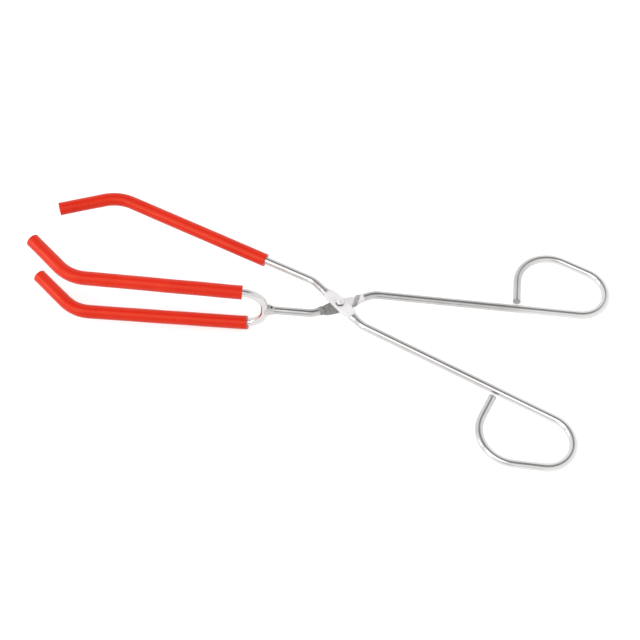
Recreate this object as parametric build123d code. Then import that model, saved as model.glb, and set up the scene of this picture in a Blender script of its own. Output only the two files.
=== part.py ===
"""Beaker tongs: two bent wire arms crossing on one rivet, like scissors.

Each arm is one length of round wire. At one end it is bent into an open finger loop. Where the
arms cross, each wire is pressed to half its thickness and lies on the other, so that both arms
work in one plane. One arm carries on to a single tine. The other ends in a stem that is welded to
a wire bow, and the two legs of the bow are the fork. The single tine closes between them. All
three tines wear a pushed-on sleeve that keeps the wire off the glass.

Frame: the origin is on the rivet's axis, halfway between the pressed plates. +Z runs along the
rivet towards its domed head. +X runs down the middle between the two handles, and the jaws point
along -X. The arms are modelled partly open, as far apart as they lie at rest.
"""
import os
from math import atan2, cos, radians, sin, tan

from build123d import *

# Wire and its opening at rest (millimetres and degrees)
wire_diameter = 4.0
wire_edge_round = 0.3   # broken edge at a cut wire end
opening = 24.2          # degrees between the two arms' centre lines

# Handles and finger loops, the loops alike on both arms
handle_length = 122.3   # from the rivet to the start of the loop
single_handle_offset = 5.3  # handle line from the rivet, square to the arm
fork_handle_offset = 8.5
loop_end_radius = 14.1
loop_end_turn = 157.0
loop_side_length = 14.4
loop_return_radius = 17.2
loop_return_turn = 111.5
loop_tail_length = 13.2

# Jaws
jaw_offset = 6.7        # jaw line from the rivet, square to the arm
jaw_offset_gauge = 8.0  # how far out from the rivet that offset is measured
single_jaw_set = -2.8   # small turn of the jaw line against the handle line
fork_jaw_set = 1.3
jaw_bend_radius = 20.0
jaw_bend = 43.3
single_jaw_length = 126.0  # from the rivet to the bend
fork_jaw_length = 127.4
single_tip_length = 22.9   # straight end of the wire
fork_tip_length = 20.8

# Fork bow
fork_width = 26.4       # between the legs' centre lines at the bow
bow_reach = 37.6        # from the rivet to the middle of the bow
bow_flat = 3.4          # straight middle of the bow, where the stem meets it
leg_splay = 1.1         # each leg leans out by this much
stem_notch_depth = 0.8  # the stem's notched end reaches round the bow this far

# Pressed half lap at the crossing
single_slant = 18.5     # the plate runs across from jaw line to handle line
fork_slant = 27.0
slant_bend_radius = 12.0
lap_half_length = 8.8
lap_width = 7.0
lap_quarter_width = 6.65  # halfway from the rivet to the shoulder
lap_edge_round = 0.6    # bulged edges of the plate
lap_play = 0.06         # running gap between the two plates
shoulder_width = 4.9    # plate where it meets the shoulder
shoulder_length = 0.7
swell_length = 2.7      # round wire swelling into the shoulder
swell_spread = 0.6      # the swell is wider than the wire by this much
swell_sink = 0.2        # and lower by this much
swell_edge_round = 1.6

# Rivet
rivet_shank_diameter = 3.0
rivet_head_diameter = 4.6
rivet_head_height = 1.7
rivet_tail_diameter = 4.8
rivet_tail_height = 1.1
rivet_rim = 0.25        # straight edge under each dome
rivet_running_gap = 0.05

# Sleeves
sleeve_single_wall = 1.45
sleeve_fork_wall = 1.6
sleeve_overhang = 1.0   # past the end of the wire
sleeve_edge_round = 0.25
sleeve_single_start = 47.3  # along the wire from the rivet
sleeve_upper_start = 19.7   # along the wire from the middle of the bow
sleeve_lower_start = 16.8

# Weld between stem and bow
weld_length = 3.2
weld_step = 0.25        # thickness where it starts on the stem
weld_spread = 1.8       # thickness at the bow, along the bow
weld_crown = 0.35       # and across it

# Modelling aids
end_reach = 0.5         # edges this near a cut end belong to it
drill_length = 20.0     # longer than the stack at the rivet is high

wire_radius = wire_diameter / 2
plate_thickness = wire_radius - lap_play / 2
bow_corner_radius = (fork_width - bow_flat) / 2


class Bender:
    """Lays out a wire's centre line as straight runs and bends, one after the other."""

    def __init__(self, start, heading):
        self.at = Vector(start)
        self.heading = Vector(heading).normalized()
        self.edges = []

    def run(self, length):
        end = self.at + self.heading * length
        self.edges.append(Edge.make_line(self.at, end))
        self.at = end

    def bend(self, radius, angle, axis=(0, 0, 1)):
        """Turn by angle about the axis, which is square to the heading."""
        spin = Axis((0, 0, 0), axis)
        inward = spin.direction.cross(self.heading) * (1 if angle > 0 else -1)
        centre = self.at + inward * radius
        middle = centre + (self.at - centre).rotate(spin, angle / 2)
        end = centre + (self.at - centre).rotate(spin, angle)
        self.edges.append(Edge.make_three_point_arc(self.at, middle, end))
        self.at = end
        self.heading = self.heading.rotate(spin, angle)


def round_bar(edges, radius, hollow=0.0):
    """A bar or tube of round section along a centre line."""
    path = Wire(edges)
    section = Plane(origin=path @ 0, z_dir=path % 0) * Circle(radius)
    bar = sweep(section, path=path)
    if hollow:
        bore = Plane(origin=path @ 0, z_dir=path % 0) * Circle(hollow)
        bar -= sweep(bore, path=path)
    return bar


def end_edges(solid, point):
    """Circular edges that lie round a cut end."""
    return [e for e in solid.edges() if e.geom_type == GeomType.CIRCLE
            and (e.arc_center - Vector(point)).length < end_reach]


def slant_run(offset, slant, jaw_set=0.0):
    """Distance along the slant from the rivet to its corner with the handle or jaw line.

    That line is turned by jaw_set, and its offset is measured jaw_offset_gauge out.
    """
    s, g = radians(slant), radians(jaw_set)
    return (offset * cos(g) - jaw_offset_gauge * sin(g)) / sin(s - g)


def handle_side(offset, slant):
    """Centre line from the rivet through the handle to the loop's end, for an arm along +X."""
    heading = (cos(radians(slant)), sin(radians(slant)), 0)
    corner = slant_run(offset, slant)
    trim = slant_bend_radius * tan(radians(slant / 2))
    pen = Bender((0, 0, 0), heading)
    pen.run(corner - trim)
    pen.bend(slant_bend_radius, -slant)
    pen.run(handle_length - pen.at.X)
    pen.bend(loop_end_radius, loop_end_turn)
    pen.run(loop_side_length)
    pen.bend(loop_return_radius, loop_return_turn)
    pen.run(loop_tail_length)
    return pen


def jaw_start(slant, jaw_set):
    """The first stretch from the rivet towards the jaws, up to the end of the slant's bend."""
    heading = (-cos(radians(slant)), -sin(radians(slant)), 0)
    corner = slant_run(jaw_offset, slant, jaw_set)
    trim = slant_bend_radius * tan(radians((slant - jaw_set) / 2))
    pen = Bender((0, 0, 0), heading)
    pen.run(corner - trim)
    pen.bend(slant_bend_radius, jaw_set - slant)
    return pen


def pressed_plate(slant, top):
    """The pressed middle of an arm: the plate and its two shoulders, below or above the lap."""
    side = 1 if top else -1
    plate_middle = side * (lap_play + plate_thickness) / 2
    swell_middle = side * swell_sink / 2

    def at(along, height):
        return Plane(origin=(along, 0, height), x_dir=(0, 1, 0), z_dir=(1, 0, 0))

    def pressed(along, width):
        return at(along, plate_middle) * RectangleRounded(width, plate_thickness, lap_edge_round)

    body = loft([
        pressed(-lap_half_length, shoulder_width),
        pressed(-lap_half_length / 2, lap_quarter_width),
        pressed(0, lap_width),
        pressed(lap_half_length / 2, lap_quarter_width),
        pressed(lap_half_length, shoulder_width),
    ])
    for way in (1, -1):
        shoulder = way * (lap_half_length + shoulder_length)
        root = shoulder + way * swell_length
        swell = at(shoulder, swell_middle) * RectangleRounded(
            wire_diameter + swell_spread, wire_diameter - swell_sink, swell_edge_round)
        body += loft([pressed(way * lap_half_length, shoulder_width), swell], ruled=True)
        body += loft([swell, at(root, 0) * Circle(wire_radius)], ruled=True)
    return Rot(0, 0, slant) * body


def onward(edges, length):
    """What is left of a centre line past its first stretch of that length."""
    edges = list(edges)
    while edges[0].length <= length:
        length -= edges.pop(0).length
    return [edges[0].trim(length / edges[0].length, 1)] + edges[1:]


def arm(jaw, handle, slant, top):
    """One arm along +X: pressed plate in the middle, round wire to both sides."""
    pressed_length = lap_half_length + shoulder_length + swell_length
    body = pressed_plate(slant, top)
    for pen in (jaw, handle):
        body += round_bar(onward(pen.edges, pressed_length), wire_radius)
    return fillet(end_edges(body, handle.at), wire_edge_round)


def cap_middle(radius, height, foot):
    """Point halfway along the arc of a round cap that rises from foot, in the XZ plane."""
    ball = (radius ** 2 + height ** 2) / (2 * height)
    half_angle = atan2(radius, ball - height) / 2
    return (ball * sin(half_angle), 0, foot + height - ball * (1 - cos(half_angle)))


def pivot_rivet():
    """Domed rivet, turned in one piece: round head above, flatter closed head below."""
    shank = rivet_shank_diameter / 2
    head, tail = rivet_head_diameter / 2, rivet_tail_diameter / 2
    rise, drop = rivet_head_height - rivet_rim, rivet_tail_height - rivet_rim
    top, bottom = wire_radius, -wire_radius
    across = cap_middle(tail, drop, 0)
    outline = [
        ThreePointArc((0, 0, top + rivet_head_height), cap_middle(head, rise, top + rivet_rim),
                      (head, 0, top + rivet_rim)),
        Polyline((head, 0, top + rivet_rim), (head, 0, top), (shank, 0, top), (shank, 0, bottom),
                 (tail, 0, bottom), (tail, 0, bottom - rivet_rim)),
        ThreePointArc((tail, 0, bottom - rivet_rim), (across[0], 0, bottom - rivet_rim - across[2]),
                      (0, 0, bottom - rivet_tail_height)),
        Line((0, 0, bottom - rivet_tail_height), (0, 0, top + rivet_head_height)),
    ]
    return revolve(make_face(outline), Axis.Z)


def add_tine(pen, straight, tip, axis=(0, 0, 1)):
    """A tine's straight, its bend and its tip, on from where the pen is."""
    pen.run(straight)
    pen.bend(jaw_bend_radius, -jaw_bend, axis)
    pen.run(tip)


def sleeve(pen, start, wall):
    """Tube pushed over a tine from start along its wire, cut square with the sharp edges gone."""
    path = onward(pen.edges, start)
    path[-1] = Edge.make_line(path[-1] @ 0, pen.at + pen.heading * sleeve_overhang)
    tube = round_bar(path, wire_radius + wall, hollow=wire_radius)
    ends = end_edges(tube, path[0] @ 0) + end_edges(tube, path[-1] @ 1)
    return fillet([e for e in ends if e.radius > wire_radius + wall / 2], sleeve_edge_round)


def single_arm():
    """The arm with one tine, and its sleeve. It lies on top of the lap."""
    jaw = jaw_start(single_slant, single_jaw_set)
    add_tine(jaw, single_jaw_length + jaw.at.X, single_tip_length)
    handle = handle_side(single_handle_offset, single_slant)
    body = arm(jaw, handle, single_slant, top=True)
    body = fillet(end_edges(body, jaw.at), wire_edge_round)
    return body, sleeve(jaw, sleeve_single_start, sleeve_single_wall)


def fork_arm():
    """The arm with the stem, the bow that is welded to it, the weld and the two sleeves."""
    jaw = jaw_start(fork_slant, fork_jaw_set)
    ahead = jaw.heading
    across = Vector(0, 0, 1).cross(ahead)
    bow_middle = jaw.at + ahead * (bow_reach + jaw.at.X)

    def leg(up):
        """Half of the bow with its leg, upwards or downwards."""
        pen = Bender(bow_middle, (0, 0, up))
        pen.run(bow_flat / 2)
        pen.bend(bow_corner_radius, up * (90 - leg_splay), across)
        straight = fork_jaw_length - bow_reach - bow_corner_radius
        add_tine(pen, straight, fork_tip_length, axis=pen.heading.cross(across))
        return pen

    upper, lower = leg(1), leg(-1)
    bow = round_bar([e.reversed() for e in reversed(lower.edges)] + upper.edges, wire_radius)
    for pen in (upper, lower):
        bow = fillet(end_edges(bow, pen.at), wire_edge_round)

    jaw.run(bow_reach + jaw.at.X - wire_radius + stem_notch_depth)
    stem = arm(jaw, handle_side(fork_handle_offset, fork_slant), fork_slant, top=False)
    seat = Vector(0, 0, wire_diameter)
    stem -= round_bar([Edge.make_line(bow_middle - seat, bow_middle + seat)], wire_radius)

    def section(back):
        return Plane(origin=bow_middle - ahead * back, x_dir=(0, 0, 1), z_dir=ahead * -1)

    weld = loft([
        section(wire_radius + weld_length) * Circle(wire_radius + weld_step),
        section(0) * Ellipse(wire_radius + weld_spread, wire_radius + weld_crown),
    ])
    upper_sleeve = sleeve(upper, sleeve_upper_start, sleeve_fork_wall)
    lower_sleeve = sleeve(lower, sleeve_lower_start, sleeve_fork_wall)
    return stem, bow, weld - stem - bow, upper_sleeve, lower_sleeve


arm_single, sleeve_single = single_arm()
arm_fork, fork_bow, fork_weld, sleeve_upper, sleeve_lower = fork_arm()

# The rivet sits tight in the fork arm's plate, and the single arm turns on it
tight_hole = Cylinder(rivet_shank_diameter / 2, drill_length)
running_hole = Cylinder(rivet_shank_diameter / 2 + rivet_running_gap, drill_length)
arm_fork -= tight_hole
arm_single -= running_hole

open_single = Rot(0, 0, -opening / 2)
open_fork = Rot(0, 0, opening / 2)
pieces = {
    "arm_single": open_single * mirror(arm_single, about=Plane.XZ),
    "sleeve_single": open_single * mirror(sleeve_single, about=Plane.XZ),
    "arm_fork": open_fork * arm_fork,
    "fork_bow": open_fork * fork_bow,
    "fork_weld": open_fork * fork_weld,
    "sleeve_fork_upper": open_fork * sleeve_upper,
    "sleeve_fork_lower": open_fork * sleeve_lower,
    "pivot_rivet": pivot_rivet(),
}

os.makedirs("parts", exist_ok=True)
for name, piece in pieces.items():
    export_step(piece, f"parts/{name}.step")
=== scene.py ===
"""Beaker tongs on a plain white table: bright plated wire and soft red sleeves.

The metal pieces are the frame's own nodes with better materials. The three sleeves and the weld
are modelled here in finer detail and stand for their plain nodes.
"""
import math

import bmesh
import bpy
from mathutils import Euler, Matrix, Vector, noise


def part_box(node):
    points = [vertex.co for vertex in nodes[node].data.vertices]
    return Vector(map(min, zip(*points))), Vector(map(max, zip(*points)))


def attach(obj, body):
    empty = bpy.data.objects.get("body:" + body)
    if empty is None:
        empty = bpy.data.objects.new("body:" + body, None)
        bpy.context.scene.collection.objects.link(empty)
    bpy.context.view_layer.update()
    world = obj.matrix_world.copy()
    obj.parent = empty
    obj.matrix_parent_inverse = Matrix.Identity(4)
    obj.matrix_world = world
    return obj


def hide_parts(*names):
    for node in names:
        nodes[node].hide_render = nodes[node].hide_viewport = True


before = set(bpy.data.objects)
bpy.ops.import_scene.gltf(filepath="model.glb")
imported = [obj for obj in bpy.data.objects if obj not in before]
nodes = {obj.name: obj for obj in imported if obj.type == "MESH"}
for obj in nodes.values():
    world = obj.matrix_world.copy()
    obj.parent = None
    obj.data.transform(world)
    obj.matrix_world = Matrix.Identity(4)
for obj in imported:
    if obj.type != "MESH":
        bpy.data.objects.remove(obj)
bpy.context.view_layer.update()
MM = 0.001

# Camera, where the photograph's was: in metres, degrees and millimetres
CAMERA_AT = (0.07467, -0.39074, 0.56788)
CAMERA_TURN = (34.165, -3.163, 16.798)
CAMERA_LENS = 76.74

# Sizes of the tines in millimetres and degrees, as the frame has them
WIRE_RADIUS = 2.0
OPENING = 24.2           # angle between the arms at rest
JAW_OFFSET = 6.7
JAW_LINE_FOOT = 8.0      # the jaw line is at its offset this far from the rivet
JAW_BEND_RADIUS = 20.0
JAW_BEND = 43.3
SLEEVE_OVERHANG = 1.0
SINGLE = {"set": -2.8, "length": 126.02, "tip": 22.9, "start": 46.36, "radius": 3.44}
FORK = {"set": 1.3, "length": 127.4, "tip": 20.8, "start": {1: 19.7, -1: 16.8}, "radius": 3.58}
BOW_REACH = 37.6
BOW_FLAT = 3.4
BOW_CORNER = 11.5
LEG_SPLAY = 1.1

# Sleeves, in millimetres
SLEEVE_SIDES = 48
UV_LENGTH = 100          # length of a texture unit along the sleeve
BORE_PLAY = 0.02
BORE_SHOWN = 1.6         # depth to which the bore is modelled
BEVEL_DEPTH = 0.05       # small bevel at the bore's mouth
BEVEL_WIDTH = 0.08
CUT_EDGE_ROUND = 0.28
SWAY = 0.07              # slow unevenness of the wall
GRAIN = 0.02             # and a finer one
WALL_INSET = 0.05        # keeps the uneven wall inside the plain one
NOISE_ALONG = 0.07       # steps through the noise, for a millimetre along and for the way out
NOISE_ROUND = 0.8
NOISE_UP = 0.5
GRAIN_SCALE = 4.5

# Weld, in millimetres: its length on the stem, and a small pit left on top of it
WELD_LENGTH = 3.2
WELD_VOXEL = 0.12
WELD_LIFT = 0.14         # stands this much proud of the plain weld at the bow
WELD_TAPER = 0.28        # and this much less where it runs out on the stem
RIPPLE = 0.035
RIPPLE_OUT = 5.5         # radians of the ripple in a millimetre, outwards and upwards
RIPPLE_UP = 2.0
LUMP = 0.1
LUMP_SCALE = 0.9
FINE_LUMP = 0.02
FINE_LUMP_SCALE = 3.0
WELD_PIT = (-32.1, -14.5, 2.35)
PIT_DEPTH = 0.5
PIT_RADIUS = 0.9
PIT_SHADE_CORE = 0.4           # painted shade: black within this, and paler towards the pit's rim

# Finish of the wires about a place, in metres: full within the first distance, gone past the second
LOOP_ENDS = ((0.0863, -0.0281, 0), (0.0856, 0.0313, 0))
CUT_END = (0.0019, 0.0024)
PLATE_CENTRE, PLATE = (0, 0, 0), (0.0088, 0.0102)
LOWER_PLATE_CENTRE, LOWER_PLATE = (0.0008, 0, 0), (0.0116, 0.0130)
FROM_AXIS = (1, 1, 0)    # the distance is from an upright axis
FROM_POINT = (1, 1, 1)   # or from the place itself

# Painted light and shade on the wires along X, in metres: none at the first place, full at the second
LOOP_LIGHT_FROM = (0.078, 0.098)
JAW_SHADE_SIDE = (0.0014, 0.0004)
SHOULDER_SHADE_SIDE = (0.0056, 0.0066)
CORNER_HIGHLIGHT_SIDE = (0.0082, 0.0090)

# Rivet: spans of its height and of its near side, in metres, and how strong the painted shade at its foot
# is over them
RIVET_HEIGHT = 0.004
RIVET_SIDE = 0.0025
SHADE_BY_HEIGHT = [(0.64, 1.0), (0.84, 0.0)]
SHADE_BY_SIDE = [(0.12, 0.12), (0.5, 1.0)]

# Finishes, and painted light and shade: plain colours, and colour stops over a noise from 0 to 1
WHITE = (1.0, 1.0, 1.0)
DARKER = (-0.03, -0.043, -0.048)
PALER = (0.04, 0.028, 0.022)
# painted light: the loops are painted a lighter grey than the rest of the wire
LOOP_PAINTED_LIGHT = (0.76, 0.75, 0.745)
CUT_STEEL = (0.42, 0.41, 0.41)
# the lower plate's corner: a painted highlight
CORNER_PAINTED_HIGHLIGHT = (0.94, 0.93, 0.925)
SATIN = [(0.3, (0.83, 0.81, 0.815)), (0.55, (0.93, 0.91, 0.915)), (0.75, (0.98, 0.96, 0.965))]
HATCH_STRETCH = (1.0, 0.25, 1.0)
# painted shade on the lower plate: dark over hatch marks on its jaw side, grey on its shoulder
JAW_SIDE_PAINTED_SHADE = [(0.35, (0.18, 0.17, 0.165)), (0.65, (0.38, 0.365, 0.355))]
SHOULDER_PAINTED_SHADE = [(0.4, (0.30, 0.285, 0.28)), (0.6, (0.52, 0.50, 0.495))]
RIVET = [(0.3, (0.84, 0.83, 0.82)), (0.7, (0.94, 0.93, 0.92))]
# painted shade and dark reflection at the rivet's foot
RIVET_PAINTED_SHADE = (0.12, 0.11, 0.105)
WELD = [(0.25, (0.50, 0.485, 0.48)), (0.5, (0.57, 0.555, 0.55)), (0.8, (0.64, 0.63, 0.625))]
# painted shade in the weld's pit
PIT_PAINTED_SHADE = (0.03, 0.027, 0.025)
VINYL = [(0.3, (0.74, 0.014, 0.005)), (0.7, (0.82, 0.023, 0.009))]
VINYL_GLOSS = (1.0, 0.72, 0.42)
DIE_LINES = 46.0         # around a sleeve

# Light and background, in metres and watts. A patch is a direction and (cosine, grey) stops
TABLE_REACH = 3.0
TABLE_GAP = 0.00005      # keeps it just clear of the wires
TABLE_GREY = 0.55
TABLE_GLOW = 0.62
OVERHEAD = ((0, 0.15, 0.989), [(0.0, 1.0), (0.78, 1.0), (0.88, 0.34), (1.0, 0.28)])
LOW_FRONT = ((0, -0.995, 0.1), [(0.0, 1.0), (0.88, 1.0), (0.96, 0.58), (1.0, 0.5)])
SOFTBOXES = (
    # name, place, target, size, power
    ("front softbox", (-0.50, -0.68, 0.40), (-0.09, 0.02, 0), 0.22, 0.8),
    ("left softbox", (-0.77, -0.29, 0.32), (-0.15, -0.02, 0), 0.22, 0.7),
    ("top softbox", (-0.20, -0.42, 0.80), (0, 0, 0), 0.6, 1.3),
)


def principled(name):
    """A new material with its node tree and its main shader."""
    material = bpy.data.materials.new(name)
    material.use_nodes = True
    tree = material.node_tree
    return material, tree, tree.nodes["Principled BSDF"]


def add(tree, kind, **values):
    """A node with some of its inputs and properties set."""
    node = tree.nodes.new(kind)
    for key, value in values.items():
        if key in node.inputs:
            node.inputs[key].default_value = value
        else:
            setattr(node, key, value)
    return node


def ramp(tree, source, stops):
    """A colour ramp on a value; the stops are (place, grey or colour)."""
    node = tree.nodes.new("ShaderNodeValToRGB")
    elements = node.color_ramp.elements
    while len(elements) < len(stops):
        elements.new(0.5)
    for element, (place, colour) in zip(elements, stops):
        element.position = place
        grey = isinstance(colour, (int, float))
        element.color = (colour, colour, colour, 1) if grey else (*colour, 1)
    tree.links.new(source, node.inputs["Fac"])
    return node.outputs["Color"]


def feed(tree, socket, value):
    """Give a socket the value of an output, a plain number or a plain colour."""
    if isinstance(value, (int, float)):
        socket.default_value = value
    elif isinstance(value, tuple):
        socket.default_value = (*value, 1)
    else:
        tree.links.new(value, socket)


def bump(tree, shader, height, strength, distance):
    """Fine relief on a shader, from a height."""
    node = add(tree, "ShaderNodeBump", Strength=strength, Distance=distance)
    tree.links.new(height, node.inputs["Height"])
    tree.links.new(node.outputs["Normal"], shader.inputs["Normal"])


def noise_value(tree, scale, detail=3.0, stretch=None):
    """Noise over the object's own coordinates, optionally stretched."""
    place = add(tree, "ShaderNodeTexCoord")
    source = place.outputs["Object"]
    if stretch:
        mapping = add(tree, "ShaderNodeMapping", Scale=stretch)
        tree.links.new(source, mapping.inputs["Vector"])
        source = mapping.outputs["Vector"]
    texture = add(tree, "ShaderNodeTexNoise", Scale=scale, Detail=detail)
    tree.links.new(source, texture.inputs["Vector"])
    return texture.outputs["Fac"]


def math_node(tree, operation, a, b=0.0):
    """Result of one operation on two values, each an output or a number."""
    node = add(tree, "ShaderNodeMath", operation=operation)
    feed(tree, node.inputs[0], a)
    feed(tree, node.inputs[1], b)
    return node.outputs["Value"]


def smooth_step(tree, value, start, end, first=0.0, last=1.0):
    """A number that turns smoothly from first to last as the value goes from start to end."""
    step = add(tree, "ShaderNodeMapRange", interpolation_type="SMOOTHSTEP")
    for name, number in (("From Min", start), ("From Max", end), ("To Min", first), ("To Max", last)):
        step.inputs[name].default_value = number
    tree.links.new(value, step.inputs["Value"])
    return step.outputs["Result"]


def closeness(tree, point, scale, near, far):
    """1 within near of a point and 0 beyond far; the scale is FROM_AXIS or FROM_POINT."""
    place = add(tree, "ShaderNodeTexCoord")
    offset = add(tree, "ShaderNodeVectorMath", operation="SUBTRACT")
    offset.inputs[1].default_value = point
    tree.links.new(place.outputs["Object"], offset.inputs[0])
    flat = add(tree, "ShaderNodeVectorMath", operation="MULTIPLY")
    flat.inputs[1].default_value = scale
    tree.links.new(offset.outputs["Vector"], flat.inputs[0])
    length = add(tree, "ShaderNodeVectorMath", operation="LENGTH")
    tree.links.new(flat.outputs["Vector"], length.inputs[0])
    return smooth_step(tree, length.outputs["Value"], near, far, 1.0, 0.0)


def coordinate(tree, axis):
    """X, Y or Z in the object's own metres."""
    place = add(tree, "ShaderNodeTexCoord")
    parts = tree.nodes.new("ShaderNodeSeparateXYZ")
    tree.links.new(place.outputs["Object"], parts.inputs["Vector"])
    return parts.outputs[axis]


def along_x(tree, start, end):
    """0 where X is start, rising to 1 where it is end."""
    return smooth_step(tree, coordinate(tree, "X"), start, end)


def blend(tree, factor, a, b, blend_type="MIX"):
    """Two colours blended by a factor, each of the three an output or a plain value."""
    mix = add(tree, "ShaderNodeMix", data_type="RGBA", blend_type=blend_type)
    feed(tree, mix.inputs["Factor"], factor)
    colours = [socket for socket in mix.inputs if socket.type == "RGBA"]
    feed(tree, colours[0], a)
    feed(tree, colours[1], b)
    return [socket for socket in mix.outputs if socket.type == "RGBA"][0]


def wire_material(name, shade, lower_plate_painted_shade=False):
    """Bright plated wire: painted lighter in the loops, satin where it was pressed, dull at its cut ends.

    The plate of the arm that lies below gets painted shade, dark over hatch marks on its jaw side
    and grey on the other, up to a painted highlight on the corner.
    """
    material, tree, shader = principled(name)
    darker, paler = (tuple(shade + change for change in tone) for tone in (DARKER, PALER))
    plating = ramp(tree, noise_value(tree, 160.0, detail=4.0), [(0.3, darker), (0.7, paler)])
    # Painted light: towards the loops the plating is blended to a lighter grey.
    plating = blend(tree, along_x(tree, *LOOP_LIGHT_FROM), plating, LOOP_PAINTED_LIGHT)
    centre, reach = (LOWER_PLATE_CENTRE, LOWER_PLATE) if lower_plate_painted_shade else (PLATE_CENTRE, PLATE)
    pressed = closeness(tree, centre, FROM_AXIS, *reach)
    satin = ramp(tree, noise_value(tree, 260.0, detail=4.0), SATIN)
    # Painted shade on the lower plate, dark over hatch marks on the jaw side and grey on the shoulder, up
    # to a painted highlight on the corner.
    if lower_plate_painted_shade:
        hatch = noise_value(tree, 1500.0, stretch=HATCH_STRETCH)
        satin = blend(tree, along_x(tree, *JAW_SHADE_SIDE), satin, ramp(tree, hatch, JAW_SIDE_PAINTED_SHADE))
        shoulder_shade = blend(tree, along_x(tree, *CORNER_HIGHLIGHT_SIDE), ramp(tree, hatch, SHOULDER_PAINTED_SHADE), CORNER_PAINTED_HIGHLIGHT)
        satin = blend(tree, along_x(tree, *SHOULDER_SHADE_SIDE), satin, shoulder_shade)
    colour = blend(tree, pressed, plating, satin)
    ends = [closeness(tree, end, FROM_POINT, *CUT_END) for end in LOOP_ENDS]
    cut_end = math_node(tree, "ADD", *ends)
    feed(tree, shader.inputs["Base Color"], blend(tree, cut_end, colour, CUT_STEEL))
    satin_share = math_node(tree, "MULTIPLY", pressed, 0.95)
    feed(tree, shader.inputs["Metallic"], math_node(tree, "SUBTRACT", 1.0, satin_share))
    streaks = ramp(tree, noise_value(tree, 300.0, detail=2.0), [(0.3, 0.16), (0.75, 0.23)])
    dull = math_node(tree, "MULTIPLY", math_node(tree, "MAXIMUM", pressed, cut_end), 0.24)
    feed(tree, shader.inputs["Roughness"], math_node(tree, "ADD", streaks, dull))
    fine = math_node(tree, "MULTIPLY", noise_value(tree, 2600.0, detail=2.0), 0.25)
    relief = math_node(tree, "ADD", fine, noise_value(tree, 110.0, detail=1.0))
    bump(tree, shader, relief, strength=0.05, distance=0.0002)
    return material


def rivet_material():
    """Polished plated rivet with fine marks from the forming tool, and painted shade and reflection along
    one side of its foot.
    """
    material, tree, shader = principled("rivet")
    shader.inputs["Metallic"].default_value = 0.35
    # Painted shade and reflection: low on the dome and on its -Y side the colour is blended to a dark
    # grey.
    height = math_node(tree, "ABSOLUTE", coordinate(tree, "Z"))
    low = ramp(tree, math_node(tree, "MULTIPLY", height, 1 / RIVET_HEIGHT), SHADE_BY_HEIGHT)
    side = math_node(tree, "MULTIPLY", coordinate(tree, "Y"), -1 / RIVET_SIDE)
    foot = math_node(tree, "MULTIPLY", low, ramp(tree, side, SHADE_BY_SIDE))
    colour = ramp(tree, noise_value(tree, 500.0), RIVET)
    feed(tree, shader.inputs["Base Color"], blend(tree, foot, colour, RIVET_PAINTED_SHADE))
    polish = ramp(tree, noise_value(tree, 1500.0), [(0.3, 0.14), (0.8, 0.26)])
    feed(tree, shader.inputs["Roughness"], polish)
    marks = noise_value(tree, 1800.0, detail=2.0)
    bump(tree, shader, marks, strength=0.2, distance=0.0001)
    return material


def weld_material():
    """Duller metal with faint heat marks under the plating, and painted shade in its pit."""
    material, tree, shader = principled("weld")
    shader.inputs["Metallic"].default_value = 0.9
    colour = ramp(tree, noise_value(tree, 420.0, detail=5.0), WELD)
    # Painted shade: the weld is blended to near black in and around its pit.
    pit = closeness(tree, [v * MM for v in WELD_PIT], FROM_POINT, PIT_SHADE_CORE * MM, PIT_RADIUS * MM)
    feed(tree, shader.inputs["Base Color"], blend(tree, pit, colour, PIT_PAINTED_SHADE))
    dull = ramp(tree, noise_value(tree, 1300.0), [(0.3, 0.20), (0.8, 0.34)])
    feed(tree, shader.inputs["Roughness"], dull)
    skin = noise_value(tree, 1100.0, detail=2.0)
    bump(tree, shader, skin, strength=0.1, distance=0.0002)
    return material


def sleeve_material():
    """Soft glossy red vinyl with faint die lines along its length."""
    material, tree, shader = principled("red vinyl")
    feed(tree, shader.inputs["Base Color"], ramp(tree, noise_value(tree, 45.0), VINYL))
    gloss = ramp(tree, noise_value(tree, 700.0), [(0.3, 0.27), (0.8, 0.38)])
    feed(tree, shader.inputs["Roughness"], gloss)
    shader.inputs["Specular IOR Level"].default_value = 0.5
    feed(tree, shader.inputs["Specular Tint"], VINYL_GLOSS)
    shader.inputs["Subsurface Weight"].default_value = 0.08
    shader.inputs["Subsurface Radius"].default_value = (0.004, 0.001, 0.0006)
    shader.inputs["Subsurface Scale"].default_value = 0.3
    place = add(tree, "ShaderNodeTexCoord")
    mapping = add(tree, "ShaderNodeMapping", Scale=(1.0, DIE_LINES, 1.0))
    tree.links.new(place.outputs["UV"], mapping.inputs["Vector"])
    lines = add(tree, "ShaderNodeTexNoise", Scale=1.0, Detail=2.0)
    tree.links.new(mapping.outputs["Vector"], lines.inputs["Vector"])
    skin = math_node(tree, "MULTIPLY", noise_value(tree, 1400.0, detail=2.0), 0.3)
    relief = math_node(tree, "ADD", lines.outputs["Fac"], skin)
    bump(tree, shader, relief, strength=0.12, distance=0.0002)
    return material


class Centreline:
    """A wire's centre line laid out as runs and bends, with a point about every step."""

    def __init__(self, start, heading, step=0.7):
        self.points = [Vector(start)]
        self.heading = Vector(heading).normalized()
        self.step = step

    def run(self, length):
        """Go straight on."""
        count = max(1, round(length / self.step))
        start = self.points[-1]
        self.points += [start + self.heading * (length * i / count) for i in range(1, count + 1)]

    def bend(self, radius, angle, axis=(0, 0, 1)):
        """Turn about an axis by an angle in degrees."""
        axis = Vector(axis)
        inward = axis.cross(self.heading) * math.copysign(1, angle)
        start = self.points[-1]
        centre = start + inward * radius
        count = max(2, round(radius * math.radians(abs(angle)) / self.step))
        for i in range(1, count + 1):
            turn = Matrix.Rotation(math.radians(angle) * i / count, 3, axis)
            self.points.append(centre + turn @ (start - centre))
        self.heading = Matrix.Rotation(math.radians(angle), 3, axis) @ self.heading


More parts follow.
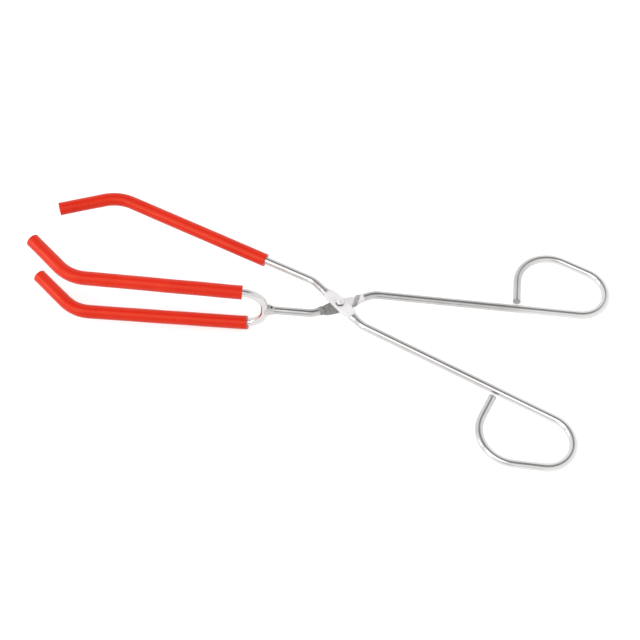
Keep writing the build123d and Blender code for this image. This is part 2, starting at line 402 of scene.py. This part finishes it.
def jaw_line(size):
    """Foot and heading of a jaw line, for an arm along +X."""
    foot = Vector((-JAW_LINE_FOOT, -JAW_OFFSET, 0))
    turn = math.radians(180 + size["set"])
    return foot, Vector((math.cos(turn), math.sin(turn), 0))


def single_line():
    """The single tine's sleeve, mirrored and turned to where the arm lies at rest."""
    foot, heading = jaw_line(SINGLE)
    line = Centreline(foot + heading * (SINGLE["start"] - JAW_LINE_FOOT), heading)
    line.run(SINGLE["length"] - SINGLE["start"])
    line.bend(JAW_BEND_RADIUS, -JAW_BEND)
    line.run(SINGLE["tip"] + SLEEVE_OVERHANG)
    turn = Matrix.Rotation(math.radians(-OPENING / 2), 3, "Z")
    return [turn @ Vector((p.x, -p.y, p.z)) for p in line.points]


def fork_line(up):
    """The sleeve on one leg of the fork, from where it starts on the bow to its tip."""
    foot, heading = jaw_line(FORK)
    across = Vector((0, 0, 1)).cross(heading)
    line = Centreline(foot + heading * (BOW_REACH - JAW_LINE_FOOT), (0, 0, up))
    line.run(BOW_FLAT / 2)
    line.bend(BOW_CORNER, up * (90 - LEG_SPLAY), across)
    line.run(FORK["length"] - BOW_REACH - BOW_CORNER)
    line.bend(JAW_BEND_RADIUS, -JAW_BEND, line.heading.cross(across))
    line.run(FORK["tip"] + SLEEVE_OVERHANG)
    turn = Matrix.Rotation(math.radians(OPENING / 2), 3, "Z")
    return [turn @ p for p in onward(line.points, FORK["start"][up])]


def onward(points, length):
    """What is left of a line past its first stretch of that length."""
    for i, (a, b) in enumerate(zip(points, points[1:])):
        step = (b - a).length
        if length < step:
            return [a.lerp(b, length / step)] + points[i + 1:]
        length -= step


def rings_along(points):
    """A frame (point, side, up) at each point, carried along without twisting."""
    tangents = []
    for i in range(len(points)):
        before, after = points[max(i - 1, 0)], points[min(i + 1, len(points) - 1)]
        tangents.append((after - before).normalized())
    side = tangents[0].cross(Vector((0, 0, 1))).normalized()
    frames = []
    for point, tangent in zip(points, tangents):
        side = (side - tangent * side.dot(tangent)).normalized()
        frames.append((point, side, tangent.cross(side)))
    return frames


def end_rings(radius):
    """Depth and radius of the rings from inside the bore, over the cut face, to the outer wall."""
    bore = WIRE_RADIUS + BORE_PLAY
    rings = [(BORE_SHOWN, bore), (BEVEL_DEPTH, bore), (0.0, bore + BEVEL_WIDTH)]
    for angle in (0, 30, 60, 90):
        turn = math.radians(angle)
        depth = CUT_EDGE_ROUND * (1 - math.cos(turn))
        rings.append((depth, radius - CUT_EDGE_ROUND * (1 - math.sin(turn))))
    return rings


def frame_at(distance, lengths, frames):
    """The frame at a distance along a line, between the two points about it."""
    i = max(j for j, length in enumerate(lengths[:-1]) if length <= distance)
    t = (distance - lengths[i]) / (lengths[i + 1] - lengths[i])
    return [a.lerp(b, t) for a, b in zip(frames[i], frames[i + 1])]


def unevenness(distance, out, seed):
    """How far a sleeve's wall stands out at a distance along it, in the direction out."""
    spot = Vector((distance * NOISE_ALONG, out.x * NOISE_ROUND + seed,
                   out.y * NOISE_ROUND + out.z * NOISE_UP))
    return SWAY * noise.noise(spot) + GRAIN * noise.noise(spot * GRAIN_SCALE) - WALL_INSET


def sleeve_rings(points, radius, seed):
    """The rings of a sleeve from bore to bore, each with its distance along the sleeve."""
    frames = rings_along(points)
    lengths = [0.0]
    for a, b in zip(points, points[1:]):
        lengths.append(lengths[-1] + (b - a).length)
    total = lengths[-1]
    ends = end_rings(radius)
    edge = 2 * ends[-1][0]
    sizes = [(depth, r, 0.0) for depth, r in ends]
    sizes += [(length, radius, 1.0) for length in lengths if edge < length < total - edge]
    sizes += [(total - depth, r, 0.0) for depth, r in reversed(ends)]
    rings = []
    for distance, r, wave in sizes:
        point, side, up = frame_at(distance, lengths, frames)
        ring = []
        for k in range(SLEEVE_SIDES):
            angle = 2 * math.pi * k / SLEEVE_SIDES
            out = side * math.cos(angle) + up * math.sin(angle)
            ring.append(point + out * (r + wave * unevenness(distance, out, seed)))
        rings.append((distance, ring))
    return rings


def tube_mesh(name, rings):
    """A smooth mesh over rings, whose texture coordinates run along it and around it."""
    mesh = bmesh.new()
    uv = mesh.loops.layers.uv.new("along")
    grid = [(distance, [mesh.verts.new(p * MM) for p in ring]) for distance, ring in rings]
    for (da, a), (db, b) in zip(grid, grid[1:]):
        for k in range(SLEEVE_SIDES):
            n = (k + 1) % SLEEVE_SIDES
            face = mesh.faces.new((a[k], a[n], b[n], b[k]))
            face.smooth = True
            for loop, (u, v) in zip(face.loops, ((da, k), (da, k + 1), (db, k + 1), (db, k))):
                loop[uv].uv = (u / UV_LENGTH, v / SLEEVE_SIDES)
    bmesh.ops.recalc_face_normals(mesh, faces=mesh.faces)
    data = bpy.data.meshes.new(name)
    mesh.to_mesh(data)
    mesh.free()
    return data


def sleeve(name, points, radius, seed, body, node, material):
    """Vinyl tube pushed onto a tine: slightly uneven, cut square, its wall showing at both ends."""
    data = tube_mesh(name, sleeve_rings(points, radius, seed))
    data.materials.append(material)
    piece = bpy.data.objects.new(name, data)
    bpy.context.scene.collection.objects.link(piece)
    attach(piece, body)
    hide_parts(node)


def weld_bead(material):
    """The fillet between stem and bow, with the ripples and small lumps of a weld."""
    piece = bpy.data.objects.new("weld_bead", nodes["fork_weld"].data.copy())
    bpy.context.scene.collection.objects.link(piece)
    remesh = piece.modifiers.new("even mesh", "REMESH")
    remesh.mode = "VOXEL"
    remesh.voxel_size = WELD_VOXEL * MM
    remesh.use_smooth_shade = True
    smooth = piece.modifiers.new("soften", "SMOOTH")
    smooth.iterations = 12
    depsgraph = bpy.context.evaluated_depsgraph_get()
    shaped = bpy.data.meshes.new_from_object(piece.evaluated_get(depsgraph))
    piece.modifiers.clear()
    piece.data = shaped
    low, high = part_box("fork_weld")
    centre = (Vector(low) + Vector(high)) / 2
    foot, heading = jaw_line(FORK)
    turn = Matrix.Rotation(math.radians(OPENING / 2), 3, "Z")
    bow = turn @ (foot + heading * (BOW_REACH - JAW_LINE_FOOT))
    stem = turn @ -heading
    normals = [v.normal.copy() for v in shaped.vertices]
    for vertex, normal in zip(shaped.vertices, normals):
        place = (vertex.co - centre) / MM
        ripple = RIPPLE * math.sin(RIPPLE_OUT * place.length + RIPPLE_UP * place.z)
        lump = LUMP * noise.noise(place * LUMP_SCALE) + FINE_LUMP * noise.noise(place * FINE_LUMP_SCALE)
        from_pit = (vertex.co / MM - Vector(WELD_PIT)).length
        pit = PIT_DEPTH * max(0.0, 1 - from_pit / PIT_RADIUS)
        past_bow = (vertex.co / MM - bow).dot(stem) - WIRE_RADIUS
        flush = min(1.0, max(0.0, past_bow / WELD_LENGTH))
        rise = ripple * (1 - flush) + lump + WELD_LIFT - WELD_TAPER * flush - pit
        vertex.co += normal * rise * MM
    shaped.materials.clear()
    shaped.materials.append(material)
    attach(piece, "fork_arm")
    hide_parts("fork_weld")


def dress_frame_nodes():
    """Better materials for the metal nodes that keep their own shape."""
    # The two arms are the same plated wire: their different greys are painted light. The bow is given a
    # paler grey still.
    dress = {
        "arm_single": wire_material("bright plated wire", shade=0.64),
        "arm_fork": wire_material("bright plated wire, plate with painted shade and highlight", shade=0.57, lower_plate_painted_shade=True),
        "fork_bow": wire_material("plated bow", shade=0.70),
        "pivot_rivet": rivet_material(),
    }
    for name, material in dress.items():
        for material_slot in nodes[name].material_slots:
            material_slot.material = material


def table_material():
    """A matt surface that also glows for the camera, so that the table shows as plain white."""
    material, tree, shader = principled("white table")
    feed(tree, shader.inputs["Base Color"], (TABLE_GREY, TABLE_GREY, TABLE_GREY))
    shader.inputs["Roughness"].default_value = 0.9
    shader.inputs["Specular IOR Level"].default_value = 0.1
    glow = add(tree, "ShaderNodeEmission")
    feed(tree, glow.inputs["Color"], WHITE)
    feed(tree, glow.inputs["Strength"], math_node(tree, "MULTIPLY", seen(tree), TABLE_GLOW))
    both = add(tree, "ShaderNodeAddShader")
    tree.links.new(shader.outputs["BSDF"], both.inputs[0])
    tree.links.new(glow.outputs["Emission"], both.inputs[1])
    tree.links.new(both.outputs["Shader"], tree.nodes["Material Output"].inputs["Surface"])
    return material


def table():
    """A white table top, sloped to touch the finger loops and the lower sleeve that lie on it."""
    low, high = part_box("arm_fork")
    loop_end, loop_bottom = high[0], low[2]
    slope = 0.0
    for name in ("sleeve_fork_lower", "fork_bow"):
        for vertex in nodes[name].data.vertices:
            slope = max(slope, (loop_bottom - vertex.co.z) / (loop_end - vertex.co.x))
    corners = []
    for x, y in ((-1, -1), (1, -1), (1, 1), (-1, 1)):
        z = loop_bottom - slope * (loop_end - x * TABLE_REACH) - TABLE_GAP
        corners.append((x * TABLE_REACH, y * TABLE_REACH, z))
    data = bpy.data.meshes.new("table_top")
    data.from_pydata(corners, [], [(0, 1, 2, 3)])
    data.materials.append(table_material())
    top = bpy.data.objects.new("table_top", data)
    bpy.context.scene.collection.objects.link(top)


def seen(tree):
    """1 for what the camera sees, straight, in a gloss or through something clear, and else 0."""
    path = add(tree, "ShaderNodeLightPath")
    indirect = math_node(tree, "MAXIMUM", path.outputs["Is Glossy Ray"],
                         path.outputs["Is Transmission Ray"])
    return math_node(tree, "MAXIMUM", path.outputs["Is Camera Ray"], indirect)


def patch(tree, towards, stops):
    """Grey by the angle from a direction: the stops are (cosine, grey)."""
    place = add(tree, "ShaderNodeTexCoord")
    dot = add(tree, "ShaderNodeVectorMath", operation="DOT_PRODUCT")
    dot.inputs[1].default_value = Vector(towards).normalized()
    tree.links.new(place.outputs["Generated"], dot.inputs[0])
    return ramp(tree, dot.outputs["Value"], stops)


def surroundings():
    """A white studio, dark overhead and grey low in front, which draws the lines along the wire."""
    world = bpy.data.worlds.new("studio")
    bpy.context.scene.world = world
    world.use_nodes = True
    tree = world.node_tree
    studio = blend(tree, 1.0, patch(tree, *OVERHEAD), patch(tree, *LOW_FRONT), "MULTIPLY")
    path = add(tree, "ShaderNodeLightPath")
    backdrop = blend(tree, path.outputs["Is Camera Ray"], studio, WHITE)
    feed(tree, tree.nodes["Background"].inputs["Color"], backdrop)


def softbox(name, at, target, size, power):
    """A soft square lamp that looks at a point."""
    data = bpy.data.lights.new(name, "AREA")
    data.size = size
    data.energy = power
    lamp = bpy.data.objects.new(name, data)
    lamp.location = at
    lamp.rotation_euler = (Vector(target) - Vector(at)).to_track_quat("-Z", "Y").to_euler()
    bpy.context.scene.collection.objects.link(lamp)


def camera():
    """A camera where the photograph's was, found by fitting lines traced in it."""
    data = bpy.data.cameras.new("camera")
    data.lens = CAMERA_LENS
    data.sensor_width = 36.0
    data.clip_start, data.clip_end = 0.02, 20.0
    view = bpy.data.objects.new("camera", data)
    view.location = CAMERA_AT
    view.rotation_euler = Euler([math.radians(a) for a in CAMERA_TURN])
    bpy.context.scene.collection.objects.link(view)
    bpy.context.scene.camera = view


camera()
bpy.context.scene.view_settings.view_transform = "Standard"
surroundings()
for box in SOFTBOXES:
    softbox(*box)
table()

dress_frame_nodes()
red = sleeve_material()
sleeve("sleeve_single_tube", single_line(), SINGLE["radius"], 1.7, "single_arm", "sleeve_single", red)
sleeve("sleeve_fork_upper_tube", fork_line(1), FORK["radius"], 4.1, "fork_arm", "sleeve_fork_upper", red)
sleeve("sleeve_fork_lower_tube", fork_line(-1), FORK["radius"], 8.6, "fork_arm", "sleeve_fork_lower", red)
weld_bead(weld_material())
